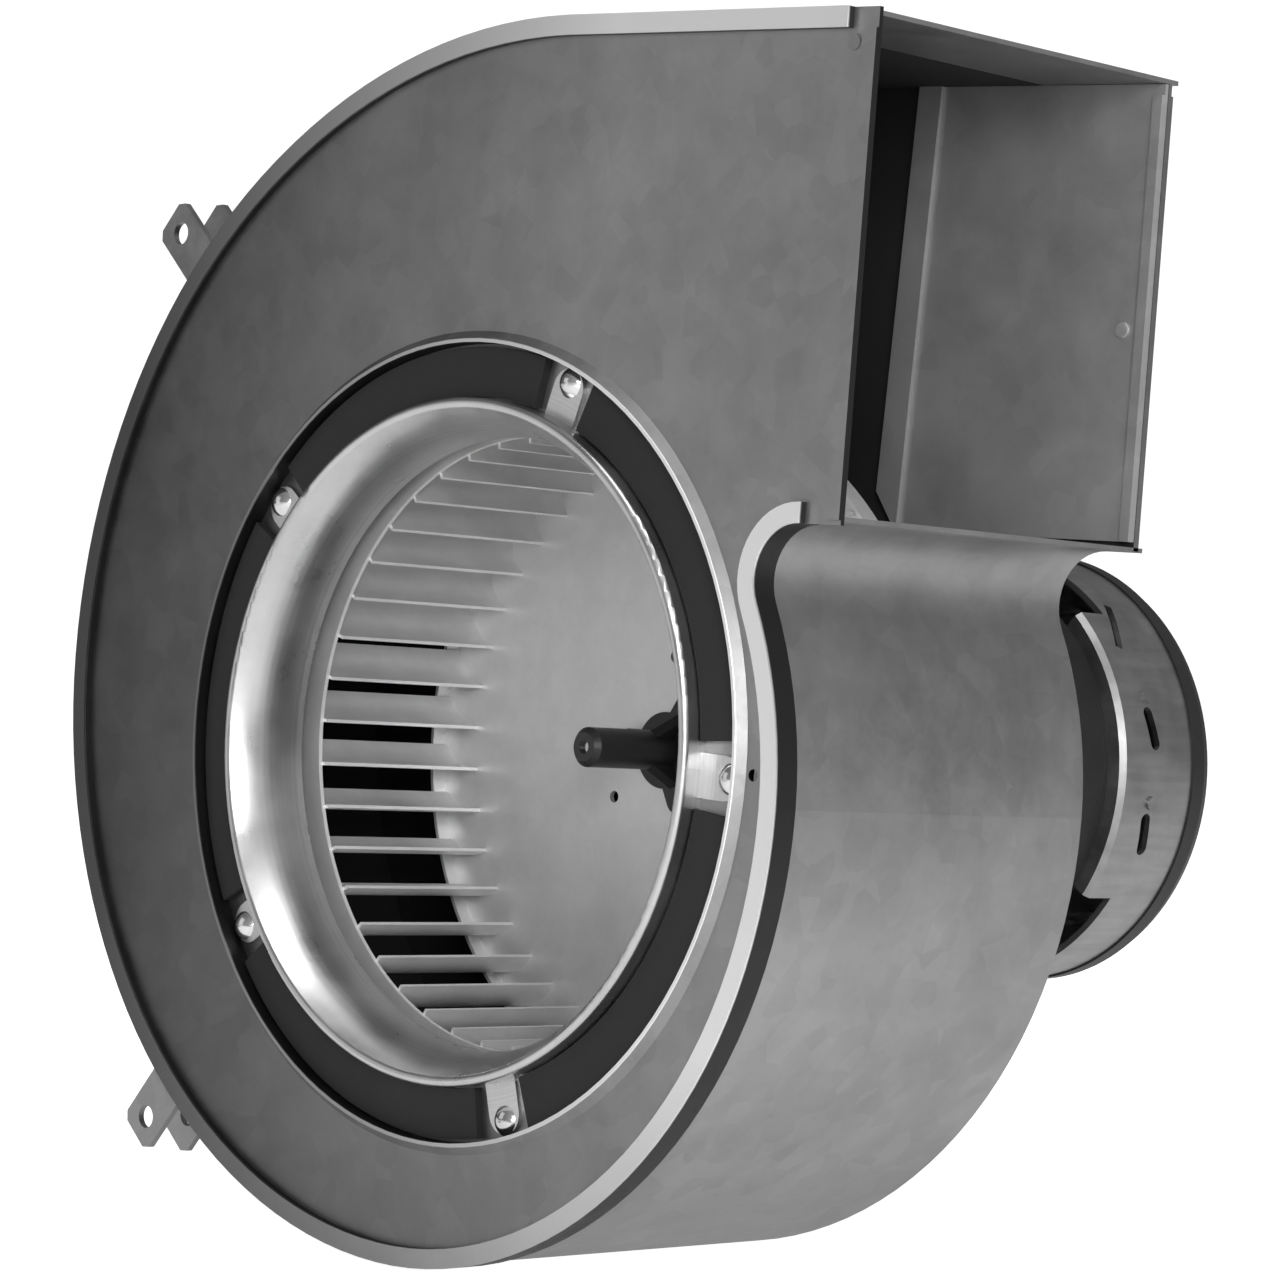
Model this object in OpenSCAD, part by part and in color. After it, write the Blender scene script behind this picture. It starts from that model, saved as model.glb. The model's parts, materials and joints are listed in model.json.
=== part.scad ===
// Small centrifugal combustion fan: sheet-metal scroll, squirrel-cage wheel and shaded-pole motor.
// Millimetres. The fan axis is the Y axis, +Y runs from the inlet to the motor, +Z is up and the outlet
// faces +X. The origin is on the fan axis in the plane of the front rim.

/* [Scroll housing] */
// Depth of the housing from the front rim to the rear rim
housing_depth = 77.6; // [75:0.2:84]
// Radius of the scroll's first, lower-right arc
scroll_arc_r = 86.5; // [86:0.5:90]
// Side of the construction square: the scroll's radius grows by this every quarter turn
scroll_step = 13.35; // [12:0.05:14]
// X of the outlet's open face
outlet_face_x = 87.4; // [86:0.1:96]
// Height of the outlet's floor above the fan axis
outlet_floor_z = 40.6; // [38:0.1:42]
// Thickness of the housing sheet
sheet = 0.8; // [0.6:0.1:1]
// Width of the folded rim seen from the front
rim_w = 3.4; // [3:0.1:4]
// Depth of the side sheets behind the rims' crests
plate_recess = 1.6; // [1:0.1:2]

/* [Inlet] */
// Radius of the stepped opening in the front plate
inlet_step_r = 69; // [67:0.5:69]
// Radius of the inlet ring's throat
throat_r = 53.5; // [53.5:0.5:54.5]
// Number of tabs and rivets round the inlet ring
inlet_tabs = 5; // [3:1:6]
// Angle of the first tab above the horizontal
inlet_first_deg = -1; // [-10:1:10]

/* [Wheel] */
// Outer radius of the blades
wheel_r = 62; // [60:0.5:67]
// Inner radius of the blades
blade_inner_r = 53; // [53:0.5:55]
// Number of blades
blade_count = 42; // [36:1:48]
// Y of the wheel's front ring
wheel_front_y = 17.5; // [16:0.5:19]
// Y of the wheel's back disc
wheel_back_y = 56; // [50:0.5:58]

/* [Motor] */
// Radius of the motor's rear shell
motor_r = 42; // [42:0.5:43]
// Y of the motor's rear end
motor_end_y = 162; // [162:1:164]
// Radius of the motor shaft
shaft_r = 3.175; // [3:0.005:3.5]

/* [Mounting lugs] */
// Radius of the hole through a lug's two ears
lug_hole_r = 2.1; // [1.6:0.1:2.4]
// Angle of the upper lug above the horizontal, round the centre of the scroll's top arc
upper_lug_deg = 138.5; // [134:0.1:144]
// Angle of the lower lug, round the centre of the scroll's left arc
lower_lug_deg = 231; // [226:0.1:236]

/* [Hidden] */
$fn = 96;
eps = 0.05;
quarter = 90;
turn = 360;
motor_legs = 3;

// Scroll layout: four arcs on the corners of the construction square, in X and Z
arc1 = [-7.2, -5];
arc2 = arc1 + [0, scroll_step];
arc3 = arc1 + [scroll_step, scroll_step];
arc0 = arc1 + [scroll_step, 0];
arc0_r = scroll_arc_r - scroll_step;
arc2_r = scroll_arc_r + scroll_step;
arc3_r = scroll_arc_r + 2 * scroll_step;
// A last, flatter arc follows arc 3 along a 3-4-5 direction and runs out on the outlet's sloping top
top_grow = 15;
top_join = [-0.6, 0.8];
top_end = [0.28, 0.96];
arc4 = arc3 - top_grow * top_join;
arc4_r = arc3_r + top_grow;
top_slope_deg = 1.75;
top_cut = 0.01;
top_line_x = arc4[0] + arc4_r * sin(top_slope_deg);

// Height of the outlet's top at x, drawn in by an inset
function top_z(x, inset) =
    arc4[1] + (arc4_r - top_cut - inset - (x - arc4[0]) * sin(top_slope_deg)) / cos(top_slope_deg);

outlet_top_z = top_z(outlet_face_x, 0);
// Tongue: the wrapper turns outward round a small circle that touches arc 0 and the outlet's floor
tongue_r = 9;
tongue_z = outlet_floor_z - tongue_r;
tongue = [arc0[0] + sqrt(pow(arc0_r + tongue_r, 2) - pow(tongue_z - arc0[1], 2)), tongue_z];

// Depths of the housing's sheets
skirt_t = 0.55;
skirt_len = 5;
wrap_inset = 0.6;
front_in_y = plate_recess + sheet;
back_out_y = housing_depth - plate_recess;
back_in_y = back_out_y - sheet;
rim_stop = 5.4;
rim_end_x = outlet_face_x - rim_stop;
edge_hem_w = 2.9;
edge_hem_t = 0.5;

// Inlet details
step_depth = 2.4;
shelf_y = plate_recess + step_depth;
shelf_r = 56.5;
band_inner_r = 59.4;
gasket_t = 1.7;
tab_w = 7.4;
tab_root_r = 59;
inlet_rivet_r = 66;
witness_hole_r = 1;
bead_crest_y = 0.2;
bead_crest_w = 0.6;
bead_w = 2.1;
witness_at = 72.6;

// Motor layout along the axis
motor_gasket_t = 2.4;
gasket_end_y = back_out_y + motor_gasket_t;
adapter_t = 1.6;
adapter_end_y = gasket_end_y + adapter_t;
grommet_len = 4;
bell_front_y = adapter_end_y + grommet_len;
stator_y = 101;
stator_end_y = 129;
stator_r = 38.2;
front_bell_r = 39.6;
flange_y = 134.4;
window_end_y = 142;
rear_wall_y = 156;
wall_t = 1.2;
stator_bore_r = 16.3;
stator_ring_in_r = 36.3;
rotor_r = 15.9;
screw_r = 2;
screw_at = 34.2;
bolt_r = 1.6;
bolt_at = 34.4;
bearing_r = 8;
bearing_len = 10;
bearing_ahead = 1;
front_bearing_y = bell_front_y - bearing_ahead;
rear_bearing_y = rear_wall_y - bearing_len;
running_gap = 0.03;
nose_r = 3.6;
nose_tip_y = 33.5;
nose_shaft_r = 2.38;

clear = 0.1;
rivet_shank_r = 1.4;
rivet_tail_r = 2.2;
rivet_tail_h = 0.9;
inlet_head_r = 2.6;
inlet_head_h = 1.3;
corner_weld_at = [82.6, 116.9];
step_gap = 0.6;
band_gap = 0.3;
tab_reach_r = inlet_step_r - step_gap;
gasket_outer_r = inlet_step_r - step_gap;
gasket_inner_r = band_inner_r + band_gap;
gasket_cut_deg = 5.4;

function tab_deg(i) = spread(i, inlet_tabs, inlet_first_deg);

// Bell-mouth section in [radius, y]: trumpet and rolled lip meet along a 3-4-5 direction
join_dir = [-0.8, -0.6];
lip_r = 1;
lip_y = 0.04;
lip_at = [band_inner_r - lip_r, lip_y];
trumpet_r = (lip_at[0] - throat_r + join_dir[0] * lip_r) / (1 + join_dir[0]);
trumpet_at = lip_at - (trumpet_r - lip_r) * join_dir;
throat_end_y = 13;
foot_r = 57.2;

// Outlet liner on the inside of the back plate
liner_low_x = 29;
liner_high_x = 32;
liner_z = 42.9;
liner_chamfer_x = 5;
liner_chamfer_z = 6.8;
liner_hem_w = 5.3;
liner_gap = 0.1;
end_hem_w = 2;
liner_weld_at = [82, 79];
weld_r = 1.3;
weld_h = 0.35;

// Lugs
lug_y = 0.6;
lug_t = 1.2;
lug_w = 9.4;
lug_depth = 11;
lug_h = 13;
lug_rear_extra = 1.6;
lug_cut = 1.4;
lug_gap = 0.1;
lug_hole_x = 8.4;
lug_weld_z = 2.4;
lug_weld_y = lug_y + lug_depth / 2;
lug_weld_r = 1.5;

// Wheel
wheel_skirt_t = 0.8;
wheel_skirt_len = 3;
ring_lap = 1;
blade_sweep_deg = 5;
blade_arc_r = 9.5;
blade_t = 0.6;
disc_t = 1;
petals = 3;
petal_first_deg = 58;
petal_rivet_at = 9.4;
petal_w = 6;
petal_root_r = 5;
petal_t = 2.2;
balance_hole_r = 1.1;
balance_hole_at = 17.2;
balance_first_deg = 94;
hub_rivet_r = 1.1;
hub_head_r = 1.9;
hub_head_h = 0.8;
hub_boss_r = 7;
hub_end_y = 66;
nose_edge = 1;
nose_wall = 0.8;
nose_hole_r = 1.2;
shaft_step_y = 50;
rib_t = 2;
rib_root_r = 3.4;
rib_h = 5;
set_screw_y = 61.5;
set_screw_r = 2;
socket_r = 1.1;
socket_deep = 1.6;

function petal_deg(i) = spread(i, petals, petal_first_deg);

// Motor mounting
motor_hole_r = 28;
gasket_ring_r = 41;
gasket_ring_hole = 28;
adapter_r = 41.5;
adapter_hole_r = 26;
grommet_r = 5;
screw_head_r = 3.6;
screw_head_h = 2.2;
slot_w = 0.9;
slot_deep = 1;
screw_end_y = 91;
screw_nut_r = 3.9;
screw_nut_h = 3;

leg_first_deg = 4;
bolt_first_deg = 64;

function leg_deg(i) = spread(i, motor_legs, leg_first_deg);

function bolt_deg(i) = spread(i, motor_legs, bolt_first_deg);

// Motor shells
boss_r = 11;
bell_edge = 1;
front_vents = 9;
front_vent_deg = 24;
front_vent_y = 89.5;
front_vent_len = 8;
front_vent_w = 3.6;
lead_y = 93;
lead_hole_r = 4;
lead_bore_r = 2.6;
grommet_half = 2.2;
grommet_lip = 1.4;
flange_in_r = 36.9;
cap_y = 155.4;
cap_gap = 0.1;
cap_lip = 0.4;
cap_round = 3.2;
cap_wall = 1.4;
cap_corner = 0.96;
cap_hole_r = 6;
skirt_from = -37;
skirt_to = 44;
slit_deg = 40;
slit_y = 143;
slit_len = 12;
slit_w = 1.8;
slit_tilt = 24;
vent_degs = [10, -18];
vent_y = 143.6;
vent_len = 8.4;
vent_w = 2.6;
vent_tilt = 12;
lip_ahead_deg = 8.4;
lip_dot_r = 1.3;
lip_dot_h = 0.5;
rear_holes = 8;
rear_hole_r = 3.4;
rear_hole_at = 23;

// Motor inside
yoke_in_r = 30.6;
poles = 4;
pole_deg = 19;
pole_w = 11;
pole_lap = 1;
shoe_t = 2.6;
shoe_w = 21;
coil_in_r = 20.6;
coil_w = 7.4;
coil_t = 4.6;
coil_over = 5.6;
shading_t = 1.2;
shading_w = 5;
shading_at = 4.4;
cage_r = 15.2;
cage_in_r = 9;
cage_t = 3;
stub_h = 2;
stub_w = 1.6;
stubs = 8;
stub_margin = 1;
felt_r = 7.6;
felt_gap = 0.5;
felt_t = 1.4;
retainer_in_r = 4.6;
retainer_t = 0.6;
collar_r = 6;
collar_len_y = 2.4;
washer_t = 0.5;
front_collar_y = 96.4;
rear_collar_y = 140.6;
cooling_r = 31;
cooling_y = 136;
cooling_h = 3;
cooling_hub_r = 7;
cooling_blade_in = 13;
cooling_blades = 10;
cooling_margin = 1;
shaft_past = 2.6;
shaft_end_y = rear_wall_y + shaft_past;
bolt_past = 4;
bolt_end_y = rear_wall_y + bolt_past;
bolt_head_r = 3.2;
bolt_head_h = 2.2;
bolt_nut_h = 2.4;

// ---- helpers ----

// A flat XZ drawing made into a sheet that starts at y and is t thick
module plate_at(y, t) {
    translate([0, y + t, 0])
        rotate([quarter, 0, 0])
            linear_extrude(t)
                children();
}

// A profile of [radius, y] turned round the fan axis
module turned() {
    mirror([0, 0, 1])
        rotate([-quarter, 0, 0])
            rotate_extrude()
                children();
}

// A tube on the fan axis
module ring_y(outer, inner, y, t) {
    plate_at(y, t)
        difference() {
            circle(outer);
            circle(inner);
        }
}

// A disc or rod parallel to the axis at [x, z]
module rod_y(r, at, y, t) {
    translate([at[0], y + t, at[1]])
        rotate([quarter, 0, 0])
            cylinder(h = t, r = r);
}

// Turns children to an angle above the horizontal, seen from the front
module at_deg(a) {
    rotate([0, -a, 0])
        children();
}

function polar(r, a) = [r * cos(a), r * sin(a)];

function spread(i, n, first) = first + i * turn / n;

// One quarter of the scroll: a disc centred on c, cut to the quadrant that sx and sz point into
module scroll_quarter(c, r, sx, sz) {
    intersection() {
        translate(c)
            circle(r);
        translate([c[0] + (sx < 0 ? -2 * r : 0), c[1] + (sz < 0 ? -2 * r : 0)])
            square(2 * r);
    }
}

// A sector of a disc centred on c between two unit directions
module scroll_sector(c, r, dir_a, dir_b) {
    reach = 2 * arc4_r;
    intersection() {
        translate(c)
            circle(r);
        polygon([c, c + reach * dir_a, c + reach * dir_b]);
    }
}

// The scroll's side view, drawn in by an inset, with the outlet reaching to x
module scroll(inset, x) {
    scroll_quarter(arc1, scroll_arc_r - inset, 1, -1);
    scroll_quarter(arc2, arc2_r - inset, -1, -1);
    scroll_sector(arc3, arc3_r - inset, [-1, 0], top_join);
    // everything under the outlet's sloping top
    intersection() {
        union() {
            scroll_sector(arc4, arc4_r - inset, top_join, top_end);
            translate([top_line_x, outlet_floor_z + inset])
                square([x - top_line_x, arc4_r]);
        }
        polygon([
            [-arc4_r, top_z(-arc4_r, inset)],
            [arc4_r, top_z(arc4_r, inset)],
            [arc4_r, -arc4_r],
            [-arc4_r, -arc4_r]
        ]);
    }
    intersection() {
        translate(arc0)
            circle(arc0_r - inset);
        translate(arc0)
            square([2 * arc0_r, tongue[1] - arc0[1]]);
    }
    difference() {
        polygon([arc0, tongue, [tongue[0], outlet_top_z - rim_w], [arc0[0], outlet_top_z - rim_w]]);
        translate(tongue)
            circle(tongue_r + inset);
    }
    translate([arc1[0] - eps, arc1[1] - eps])
        square([scroll_step + 2 * eps, scroll_step + 2 * eps]);
}

// A band along the scroll's edge between two insets, open at the outlet and along the outlet's floor
module rim_band(outer, inner) {
    difference() {
        scroll(outer, rim_end_x);
        scroll(inner, outlet_face_x + rim_w);
        translate([tongue[0], outlet_floor_z - eps])
            square([tongue_r * 3, tongue_r * 2]);
    }
}

// One side sheet as seen from its outer side: sheet, folded rim and outlet hem, with y counted inwards
module side_sheet(edge) {
    plate_at(plate_recess, sheet)
        scroll(edge, outlet_face_x);
    plate_at(0, front_in_y)
        rim_band(edge, rim_w);
    plate_at(plate_recess - edge_hem_t, front_in_y - plate_recess + edge_hem_t)
        translate([outlet_face_x - edge_hem_w, outlet_floor_z + sheet])
            square([edge_hem_w, outlet_top_z - outlet_floor_z - rim_w - sheet]);
}

// ---- housing ----

module front_plate() {
    color("darkgray") {
        difference() {
            side_sheet(0);
            rod_y(inlet_step_r, [0, 0], -eps, shelf_y);
            rod_y(witness_hole_r, [witness_at, 0], -eps, shelf_y);
        }
        // skirt folded back over the wrapper
        plate_at(0, skirt_len)
            rim_band(0, skirt_t);
        // raised bead round the opening, with a sloping outer flank
        turned()
            polygon([
                [inlet_step_r, plate_recess + eps],
                [inlet_step_r, bead_crest_y],
                [inlet_step_r + bead_crest_w, bead_crest_y],
                [inlet_step_r + bead_w, plate_recess + eps]
            ]);
        // joggled shelf that carries the gasket and the inlet ring
        ring_y(inlet_step_r + sheet, inlet_step_r, front_in_y, shelf_y + sheet - front_in_y);
        difference() {
            ring_y(inlet_step_r + eps, shelf_r, shelf_y, sheet);
            for (i = [0 : inlet_tabs - 1])
                rod_y(rivet_shank_r, polar(inlet_rivet_r, tab_deg(i)), shelf_y - eps, sheet + 2 * eps);
        }
    }
}

module back_plate() {
    color("gray")
        difference() {
            translate([0, housing_depth, 0])
                mirror([0, 1, 0])
                    side_sheet(wrap_inset + sheet);
            rod_y(motor_hole_r, [0, 0], back_in_y - eps, sheet + 2 * eps);
            for (i = [0 : motor_legs - 1])
                rod_y(screw_r + clear, polar(screw_at, leg_deg(i)), back_in_y - eps, sheet + 2 * eps);
        }
}

module scroll_wrapper() {
    color("silver")
        plate_at(front_in_y, housing_depth - front_in_y)
            difference() {
                scroll(wrap_inset, outlet_face_x);
                scroll(wrap_inset + sheet, outlet_face_x + rim_w);
            }
}

// Liner outline from its inner edge to x, reaching up to just under the outlet's top
module liner_sheet(low_x, high_x) {
    top_inset = wrap_inset + sheet + liner_gap;
    polygon([
        [liner_low_x, liner_z + liner_chamfer_z],
        [liner_low_x + liner_chamfer_x, liner_z],
        [low_x, liner_z],
        [high_x, top_z(high_x, top_inset)],
        [liner_high_x, top_z(liner_high_x, top_inset)]
    ]);
}

module outlet_liner() {
    end_x = outlet_face_x - liner_gap;
    color("gray") {
        plate_at(back_in_y - sheet, sheet)
            liner_sheet(end_x, end_x);
        // hems folded back on the sheet along its inner edge and at the outlet
        plate_at(back_in_y - 2 * sheet, sheet)
            liner_sheet(liner_low_x + liner_hem_w, liner_high_x + liner_hem_w);
        plate_at(back_in_y - 2 * sheet, sheet)
            translate([end_x - end_hem_w, liner_z])
                square([end_hem_w, outlet_top_z - rim_w - liner_z]);
    }
}

module liner_spot_weld() {
    color("lightgray")
        rod_y(weld_r, liner_weld_at, back_in_y - sheet - weld_h, weld_h);
}

// ---- inlet ----

module inlet_ring() {
    color("lightgray")
        difference() {
            union() {
                turned()
                    bell_profile();
                for (i = [0 : inlet_tabs - 1])
                    at_deg(tab_deg(i))
                        inlet_tab();
            }
            for (i = [0 : inlet_tabs - 1])
                rod_y(rivet_shank_r, polar(inlet_rivet_r, tab_deg(i)), shelf_y - sheet - eps,
                    sheet + 2 * eps);
        }
}

// Part of a thin shell of radius r round c, between two directions, in the [radius, y] section
module shell_arc(c, r, dir_a, dir_b) {
    reach = 3 * r;
    intersection() {
        translate(c)
            difference() {
                circle(r);
                circle(r - sheet);
            }
        polygon([c, c + reach * dir_a, c + reach * (dir_a + dir_b), c + reach * dir_b]);
    }
}

// Section of the spun bell-mouth: collar at the throat, trumpet, rolled lip, leg and foot
module bell_profile() {
    shell_arc(trumpet_at, trumpet_r, [-1, 0], join_dir);
    shell_arc(lip_at, lip_r, join_dir, [0, -1]);
    shell_arc(lip_at, lip_r, [0, -1], [1, 0]);
    translate([throat_r, trumpet_at[1]])
        square([sheet, throat_end_y - trumpet_at[1]]);
    translate([band_inner_r - sheet, lip_at[1]])
        square([sheet, shelf_y - lip_at[1]]);
    translate([foot_r, shelf_y - sheet])
        square([band_inner_r - foot_r, sheet]);
}

module inlet_tab() {
    plate_at(shelf_y - sheet, sheet) {
        translate([tab_root_r, -tab_w / 2])
            square([tab_reach_r - tab_w / 2 - tab_root_r, tab_w]);
        translate([tab_reach_r - tab_w / 2, 0])
            circle(tab_w / 2);
    }
}

module inlet_gasket() {
    color("black")
        for (i = [0 : inlet_tabs - 1])
            plate_at(shelf_y - gasket_t, gasket_t)
                gasket_arc(tab_deg(i) + gasket_cut_deg, tab_deg(i) + turn / inlet_tabs - gasket_cut_deg);
}

// An arc pad between two angles
module gasket_arc(a0, a1) {
    reach = 2 * gasket_outer_r;
    intersection() {
        difference() {
            circle(gasket_outer_r);
            circle(gasket_inner_r);
        }
        polygon([[0, 0], polar(reach, a0), polar(reach, (a0 + a1) / 2), polar(reach, a1)]);
    }
}

// A domed rivet along the axis: head towards -Y standing on y, shank of a length and a formed tail
module rivet(at, y, grip, head_r, head_h) {
    translate([at[0], y, at[1]])
        rotate([quarter, 0, 0])
            intersection() {
                dome_r = (head_r * head_r + head_h * head_h) / (2 * head_h);
                translate([0, 0, head_h - dome_r])
                    sphere(dome_r);
                cylinder(h = head_h, r = head_r);
            }
    rod_y(rivet_shank_r, at, y - eps, grip + 2 * eps);
    rod_y(rivet_tail_r, at, y + grip, rivet_tail_h);
}

module inlet_rivets() {
    color("white")
        for (i = [0 : inlet_tabs - 1])
            rivet(polar(inlet_rivet_r, tab_deg(i)), shelf_y - sheet, 2 * sheet, inlet_head_r, inlet_head_h);
}

module corner_weld() {
    color("lightgray")
        rod_y(weld_r, corner_weld_at, plate_recess - weld_h, weld_h);
}

// ---- lugs ----

// A folded lug: x is outwards from the rim, z is along the rim
module lug_shape() {
    difference() {
        union() {
            translate([0, lug_y, -lug_w / 2])
                cube([lug_t, lug_depth, lug_w]);
            plate_at(lug_y, lug_t)
                lug_ear(lug_h);
            plate_at(lug_y + lug_depth - lug_t, lug_t)
                lug_ear(lug_h + lug_rear_extra);
        }
        translate([lug_hole_x, lug_y - eps, 0])
            rotate([-quarter, 0, 0])
                cylinder(h = lug_depth + 2 * eps, r = lug_hole_r);
    }
}

// An ear h high, square at its root and chamfered at its outer corners
module lug_ear(h) {
    polygon([
        [0, -lug_w / 2],
        [0, lug_w / 2],
        [h - lug_cut, lug_w / 2],
        [h, lug_w / 2 - lug_cut],
        [h, -lug_w / 2 + lug_cut],
        [h - lug_cut, -lug_w / 2]
    ]);
}

// Puts a lug's frame on the rim at angle a of the arc with centre c and radius r
module lug_at(c, r, a) {
    translate([c[0], 0, c[1]])
        at_deg(a)
            translate([r + lug_gap, 0, 0])
                children();
}

module upper_lug() {
    color("silver")
        lug_at(arc3, arc3_r, upper_lug_deg)
            lug_shape();
}

module lower_lug() {
    color("silver")
        lug_at(arc2, arc2_r, lower_lug_deg)
            lug_shape();
}

// Two weld buttons, through the gap between a lug's base and the rim
module weld_pair() {
    for (z = [-lug_weld_z, lug_weld_z])
        translate([lug_t, lug_weld_y, z])
            rotate([0, quarter, 0])
                cylinder(h = weld_h, r = lug_weld_r);
}

module lug_welds() {
    color("lightgray") {
        lug_at(arc3, arc3_r, upper_lug_deg)
            weld_pair();
        lug_at(arc2, arc2_r, lower_lug_deg)
            weld_pair();
    }
}

// ---- wheel and hub ----

module wheel_front_ring() {
    color("silver")
        turned()
            polygon([
                [blade_inner_r + ring_lap, wheel_front_y],
                [wheel_r + wheel_skirt_t, wheel_front_y],
                [wheel_r + wheel_skirt_t, wheel_front_y + wheel_skirt_len],
                [wheel_r + clear, wheel_front_y + wheel_skirt_len],
                [wheel_r + clear, wheel_front_y + sheet],
                [blade_inner_r + ring_lap, wheel_front_y + sheet]
            ]);
}

// One forward-curved blade's section, drawn for a wheel that turns clockwise seen from the front
module blade_section() {
    inner = [blade_inner_r, 0];
    outer = polar(wheel_r, -blade_sweep_deg);
    chord = outer - inner;
    chord_len = norm(chord);
    rise = sqrt(blade_arc_r * blade_arc_r - chord_len * chord_len / 4);
    centre = (inner + outer) / 2 + rise / chord_len * [chord[1], -chord[0]];
    intersection() {
        translate(centre)
            difference() {
                circle(blade_arc_r);
                circle(blade_arc_r - blade_t);
            }
        polygon([centre, centre + 2 * (inner - centre), centre + 2 * (outer - centre)]);
    }
}

module wheel_blades() {
    color("gainsboro")
        for (i = [0 : blade_count - 1])
            at_deg(spread(i, blade_count, 0))
                plate_at(wheel_front_y + sheet, wheel_back_y - wheel_front_y - sheet)
                    blade_section();
}

module wheel_back_disc() {
    color("gainsboro")
        difference() {
            turned()
                polygon([
                    [nose_r + clear, wheel_back_y],
                    [wheel_r + clear, wheel_back_y],
                    [wheel_r + clear, wheel_back_y - wheel_skirt_len],
                    [wheel_r + wheel_skirt_t, wheel_back_y - wheel_skirt_len],
                    [wheel_r + wheel_skirt_t, wheel_back_y + disc_t],
                    [nose_r + clear, wheel_back_y + disc_t]
                ]);
            for (i = [0 : petals - 1])
                rod_y(hub_rivet_r, polar(petal_rivet_at, petal_deg(i)), wheel_back_y - eps,
                    disc_t + 2 * eps);
            for (i = [0 : petals - 1])
                rod_y(balance_hole_r, polar(balance_hole_at, spread(i, petals, balance_first_deg)),
                    wheel_back_y - eps, disc_t + 2 * eps);
        }
}

// Black hub: a long nose over the shaft's end and petals that stand on the back disc
module wheel_hub() {
    color("black")
        difference() {
            union() {
                turned()
                    polygon([
                        [nose_hole_r, nose_tip_y],
                        [nose_r - nose_edge, nose_tip_y],
                        [nose_r, nose_tip_y + nose_edge],
                        [nose_r, wheel_back_y - petal_t],
                        [hub_boss_r, wheel_back_y - petal_t],
                        [hub_boss_r, wheel_back_y],
                        [nose_r, wheel_back_y],
                        [nose_r, wheel_back_y + disc_t],
                        [hub_boss_r, wheel_back_y + disc_t],
                        [hub_boss_r, hub_end_y],
                        [shaft_r, hub_end_y],
                        [shaft_r, shaft_step_y],
                        [nose_shaft_r, shaft_step_y],
                        [nose_shaft_r, nose_tip_y + nose_wall],
                        [nose_hole_r, nose_tip_y + nose_wall]
                    ]);
                for (i = [0 : petals - 1])
                    at_deg(petal_deg(i))
                        petal();
            }
            for (i = [0 : petals - 1])
                rod_y(hub_rivet_r, polar(petal_rivet_at, petal_deg(i)),
                    wheel_back_y - petal_t - eps, petal_t + 2 * eps);
            translate([0, set_screw_y, 0])
                cylinder(h = hub_boss_r + eps, r = set_screw_r);
        }
}

// One petal along +X with a sloping rib that runs up the nose
module petal() {
    plate_at(wheel_back_y - petal_t, petal_t) {
        translate([petal_root_r, -petal_w / 2])
            square([petal_rivet_at - petal_root_r, petal_w]);
        translate([petal_rivet_at, 0])
            circle(petal_w / 2);
    }
    translate([0, 0, -rib_t / 2])
        linear_extrude(rib_t)
            polygon([
                [rib_root_r, wheel_back_y - petal_t - rib_h],
                [petal_rivet_at - hub_head_r, wheel_back_y - petal_t + eps],
                [rib_root_r, wheel_back_y - petal_t + eps]
            ]);
}

module hub_rivets() {
    color("dimgray")
        for (i = [0 : petals - 1]) {
            at = polar(petal_rivet_at, petal_deg(i));
            rod_y(hub_head_r, at, wheel_back_y - petal_t - hub_head_h, hub_head_h);
            rod_y(hub_rivet_r, at, wheel_back_y - petal_t - eps, petal_t + disc_t + 2 * eps);
            rod_y(hub_head_r, at, wheel_back_y + disc_t, hub_head_h);
        }
}

module hub_set_screw() {
    color("dimgray")
        difference() {
            translate([0, set_screw_y, shaft_r + clear])
                cylinder(h = hub_boss_r - shaft_r - clear, r = set_screw_r - clear / 2);
            translate([0, set_screw_y, hub_boss_r - socket_deep])
                cylinder(h = socket_deep + eps, r = socket_r, $fn = 6);
        }
}

module motor_shaft() {
    color("lightsteelblue") {
        nose_in_y = nose_tip_y + nose_wall;
        rod_y(nose_shaft_r - running_gap, [0, 0], nose_in_y, shaft_step_y - nose_in_y);
        rod_y(shaft_r - running_gap, [0, 0], shaft_step_y, shaft_end_y - shaft_step_y);
    }
}

// ---- motor mounting ----

module motor_gasket() {
    color("black")
        difference() {
            ring_y(gasket_ring_r, gasket_ring_hole, back_out_y, gasket_end_y - back_out_y);
            leg_holes(screw_r + clear, back_out_y, gasket_end_y - back_out_y);
        }
}

// Holes on the motor screws' circle
module leg_holes(r, y, t) {
    for (i = [0 : motor_legs - 1])
        rod_y(r, polar(screw_at, leg_deg(i)), y - eps, t + 2 * eps);
}

module motor_adapter() {
    color("dimgray")
        difference() {
            ring_y(adapter_r, adapter_hole_r, gasket_end_y, adapter_end_y - gasket_end_y);
            leg_holes(screw_r + clear, gasket_end_y, adapter_end_y - gasket_end_y);
        }
}

module motor_grommets() {
    color("black")
        difference() {
            for (i = [0 : motor_legs - 1])
                rod_y(grommet_r, polar(screw_at, leg_deg(i)), adapter_end_y, bell_front_y - adapter_end_y);
            leg_holes(screw_r + clear, adapter_end_y, bell_front_y - adapter_end_y);
        }
}

module motor_screws() {
    color("silver")
        difference() {
            for (i = [0 : motor_legs - 1]) {
                at = polar(screw_at, leg_deg(i));
                rod_y(screw_head_r, at, back_in_y - screw_head_h, screw_head_h);
                rod_y(screw_r, at, back_in_y - eps, screw_end_y - back_in_y);
            }
            for (i = [0 : motor_legs - 1])
                screw_slot(polar(screw_at, leg_deg(i)));
        }
}

module screw_slot(at) {
    translate([at[0] - slot_w / 2, back_in_y - screw_head_h - eps, at[1] - screw_head_r])
        cube([slot_w, slot_deep + eps, 2 * screw_head_r]);
}

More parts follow.
